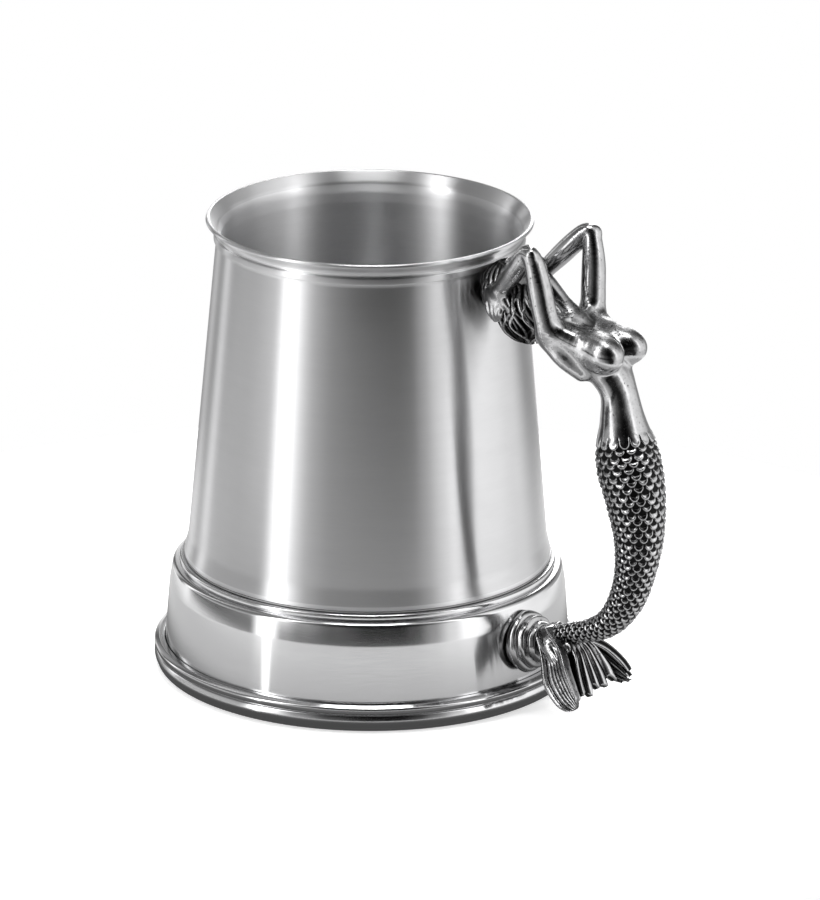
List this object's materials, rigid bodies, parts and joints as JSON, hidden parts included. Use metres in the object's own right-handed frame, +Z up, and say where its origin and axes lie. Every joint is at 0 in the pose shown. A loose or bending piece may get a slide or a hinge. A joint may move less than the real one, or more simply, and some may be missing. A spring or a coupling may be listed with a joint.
{
  "type": "drinking tankard",
  "caption": "Footed, tapered drinking tankard in spun pewter with a flared lip, a beaded drum base and a cast mermaid figure as its side handle.",
  "frame": {"origin": "middle of the footprint's bounding box, on the plane the foot ring stands on; the vessel's own axis is parallel to Z at x = -18.7 mm, y = 0", "axes": "+Z up, +X from the vessel towards the handle, +Y across the handle's plane of symmetry"},
  "size_m": [0.1426, 0.1052, 0.1223],
  "materials": {
    "spun_pewter": "fine circumferential satin over bright metal",
    "cast_pewter": "polished highlights with dark antiqued recesses",
    "solder": "dull fillet"
  },
  "bodies": {
    "root": {"barrel": "spun_pewter", "base_drum": "spun_pewter", "foot_ring": "spun_pewter", "floor_disc": "spun_pewter", "shoulder_solder": "solder", "floor_solder": "solder", "foot_solder": "solder", "figure_body": "cast_pewter", "figure_head": "cast_pewter", "figure_arm_right": "cast_pewter", "figure_arm_left": "cast_pewter", "figure_fin": "cast_pewter", "lower_boss": "cast_pewter", "head_solder": "solder", "boss_solder": "solder"}
  },
  "joints": []
}
